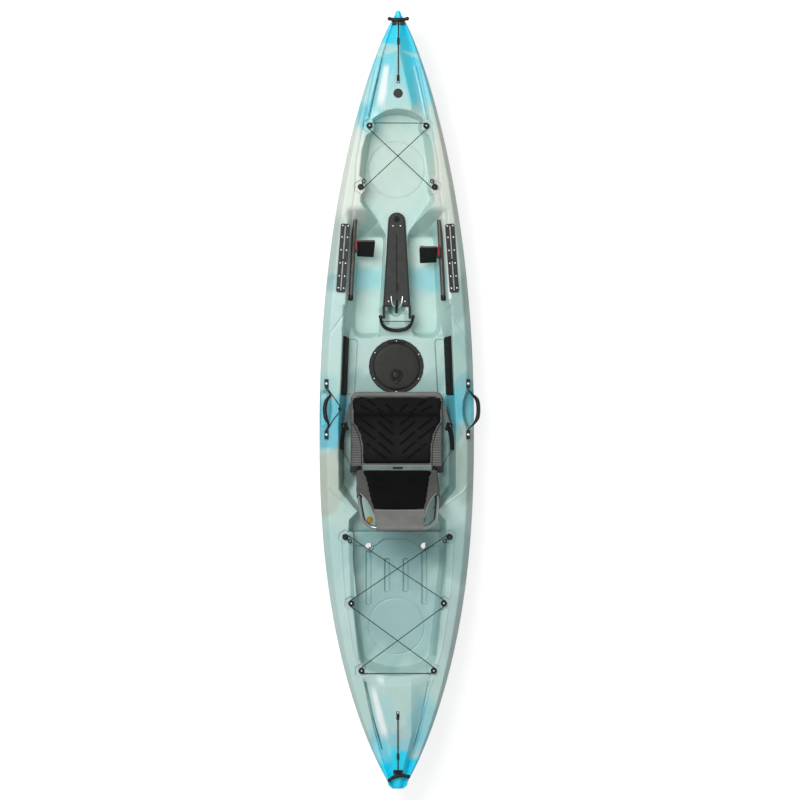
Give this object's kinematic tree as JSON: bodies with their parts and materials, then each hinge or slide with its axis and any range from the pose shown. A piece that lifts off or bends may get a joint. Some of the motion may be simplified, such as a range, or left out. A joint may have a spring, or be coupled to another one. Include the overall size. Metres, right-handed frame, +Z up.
{
  "type": "fishing kayak",
  "caption": "Sit-on-top fishing kayak with framed folding seat, opening round hatch, sliding foot braces, centre console, storage wells and carry handles",
  "frame": {"origin": "underside of the flat keel strip, at the middle of the hull's length", "axes": "+X to starboard, +Y toward the bow, +Z up; the hull stands on its keel at Z = 0"},
  "size_m": [0.775, 3.73, 0.5666],
  "materials": {
    "camo_hull": "rotomoulded polyethylene, sea camouflage",
    "white_foam": "closed-cell foam",
    "yellow_plug": "moulded plug",
    "black_moulding": "moulded nylon, satin",
    "grey_plate": "grained sheet",
    "black_rubber": "soft seal",
    "stainless_pin": "drawn pin",
    "dark_track": "anodised track",
    "grey_track": "anodised track",
    "red_lock": "moulded lever",
    "grey_foam": "ribbed foam sheet",
    "black_cord": "braided cord",
    "seat_tubing": "drawn tube",
    "black_mesh": "woven panel",
    "grey_sleeve": "ribbed sleeve",
    "grey_webbing": "woven strap"
  },
  "bodies": {
    "hull_and_fittings": {"hull": "camo_hull", "foam_block_bow": "white_foam", "foam_block_stern": "white_foam", "scupper_plug": "yellow_plug", "hatch_rim": "black_moulding", "hatch_gasket": "black_rubber", "hatch_hinge_pin": "stainless_pin", "console_base": "black_moulding", "console_plate": "grey_plate", "accessory_rail_right": "grey_track", "accessory_rail_left": "grey_track", "foot_brace_rail_right": "dark_track", "foot_brace_rail_left": "dark_track", "side_pad_right": "grey_foam", "side_pad_left": "grey_foam", "handle_anchor_fore_right": "black_moulding", "handle_anchor_aft_right": "black_moulding", "handle_anchor_fore_left": "black_moulding", "handle_anchor_aft_left": "black_moulding", "paddle_hook": "black_moulding", "paddle_cord": "black_cord", "bow_toggle_bracket": "black_moulding", "stern_toggle_bracket": "black_moulding", "bow_pad_eye": "black_moulding", "stern_pad_eye": "black_moulding", "bow_toggle_cord": "black_cord", "stern_toggle_cord": "black_cord", "deck_button_bow_1_right": "black_moulding", "deck_button_bow_1_left": "black_moulding", "deck_button_bow_2_right": "black_moulding", "deck_button_bow_2_left": "black_moulding", "deck_button_stern_1_right": "black_moulding", "deck_button_stern_1_left": "black_moulding", "deck_button_stern_2_right": "black_moulding", "deck_button_stern_2_left": "black_moulding", "deck_button_stern_3_right": "black_moulding", "deck_button_stern_3_left": "black_moulding", "bow_bungee": "black_cord", "stern_bungee": "black_cord", "seat_frame": "seat_tubing", "seat_pivot_right": "black_moulding", "seat_pivot_left": "black_moulding", "seat_panel": "black_mesh", "seat_cover": "black_mesh", "leg_strap_right": "grey_webbing", "leg_strap_left": "grey_webbing"},
    "lid": {"hatch_lid": "black_moulding"},
    "latch": {"hatch_latch": "black_moulding"},
    "console_grip": {"console_handle": "black_moulding"},
    "pedal_right": {"foot_pedal_right": "black_moulding"},
    "pedal_left": {"foot_pedal_left": "black_moulding"},
    "lock_right": {"pedal_lock_right": "red_lock"},
    "lock_left": {"pedal_lock_left": "red_lock"},
    "carry_right": {"carry_handle_right": "black_moulding"},
    "carry_left": {"carry_handle_left": "black_moulding"},
    "bow_grip": {"bow_toggle": "black_moulding"},
    "stern_grip": {"stern_toggle": "black_moulding"},
    "seat_back": {"back_frame": "seat_tubing", "back_sleeve": "grey_sleeve", "back_panel": "black_mesh"}
  },
  "joints": [
    {"name": "hatch_hinge", "type": "hinge", "parent": "hull_and_fittings", "child": "lid", "pos_m": [0, 0.283, 0.1502], "axis": [-1, 0, 0], "range_deg": [0, 105]},
    {"name": "hatch_latch_turn", "type": "hinge", "parent": "lid", "child": "latch", "pos_m": [0, 0.12, 0.1566], "axis": [0, 0, 1], "range_deg": [0, 90]},
    {"name": "console_handle_swing", "type": "hinge", "parent": "hull_and_fittings", "child": "console_grip", "pos_m": [0, 0.402, 0.1974], "axis": [-1, 0, 0], "range_deg": [0, 110]},
    {"name": "foot_pedal_slide_right", "type": "slide", "parent": "hull_and_fittings", "child": "pedal_right", "axis": [-0.0463, 0.9989, 0], "range_m": [-0.19, 0.09]},
    {"name": "foot_pedal_slide_left", "type": "slide", "parent": "hull_and_fittings", "child": "pedal_left", "axis": [0.0463, 0.9989, 0], "range_m": [-0.21, 0.07]},
    {"name": "pedal_lock_right_press", "type": "hinge", "parent": "pedal_right", "child": "lock_right", "pos_m": [0.19117, 0.74034, 0.253], "axis": [-0.9989, -0.0463, 0], "range_deg": [0, 12], "stiffness_Nm_per_rad": 0.5},
    {"name": "pedal_lock_left_press", "type": "hinge", "parent": "pedal_left", "child": "lock_left", "pos_m": [-0.18982, 0.76931, 0.253], "axis": [-0.9989, 0.0463, 0], "range_deg": [0, 12], "stiffness_Nm_per_rad": 0.5},
    {"name": "carry_handle_right_swing", "type": "hinge", "parent": "hull_and_fittings", "child": "carry_right", "pos_m": [0.3415, -0.04375, 0.274], "axis": [0, -1, 0], "range_deg": [0, 150]},
    {"name": "carry_handle_left_swing", "type": "hinge", "parent": "hull_and_fittings", "child": "carry_left", "pos_m": [-0.3415, -0.04375, 0.274], "axis": [0, -1, 0], "range_deg": [0, 100]},
    {"name": "bow_toggle_lift", "type": "hinge", "parent": "hull_and_fittings", "child": "bow_grip", "pos_m": [0, 1.807, 0.38525], "axis": [1, 0, 0], "range_deg": [0, 90]},
    {"name": "stern_toggle_lift", "type": "hinge", "parent": "hull_and_fittings", "child": "stern_grip", "pos_m": [0, -1.784, 0.3516], "axis": [-1, 0, 0], "range_deg": [0, 90]},
    {"name": "seat_back_fold", "type": "hinge", "parent": "hull_and_fittings", "child": "seat_back", "pos_m": [0, -0.335, 0.222], "axis": [-1, 0, 0], "range_deg": [0, 90]}
  ]
}
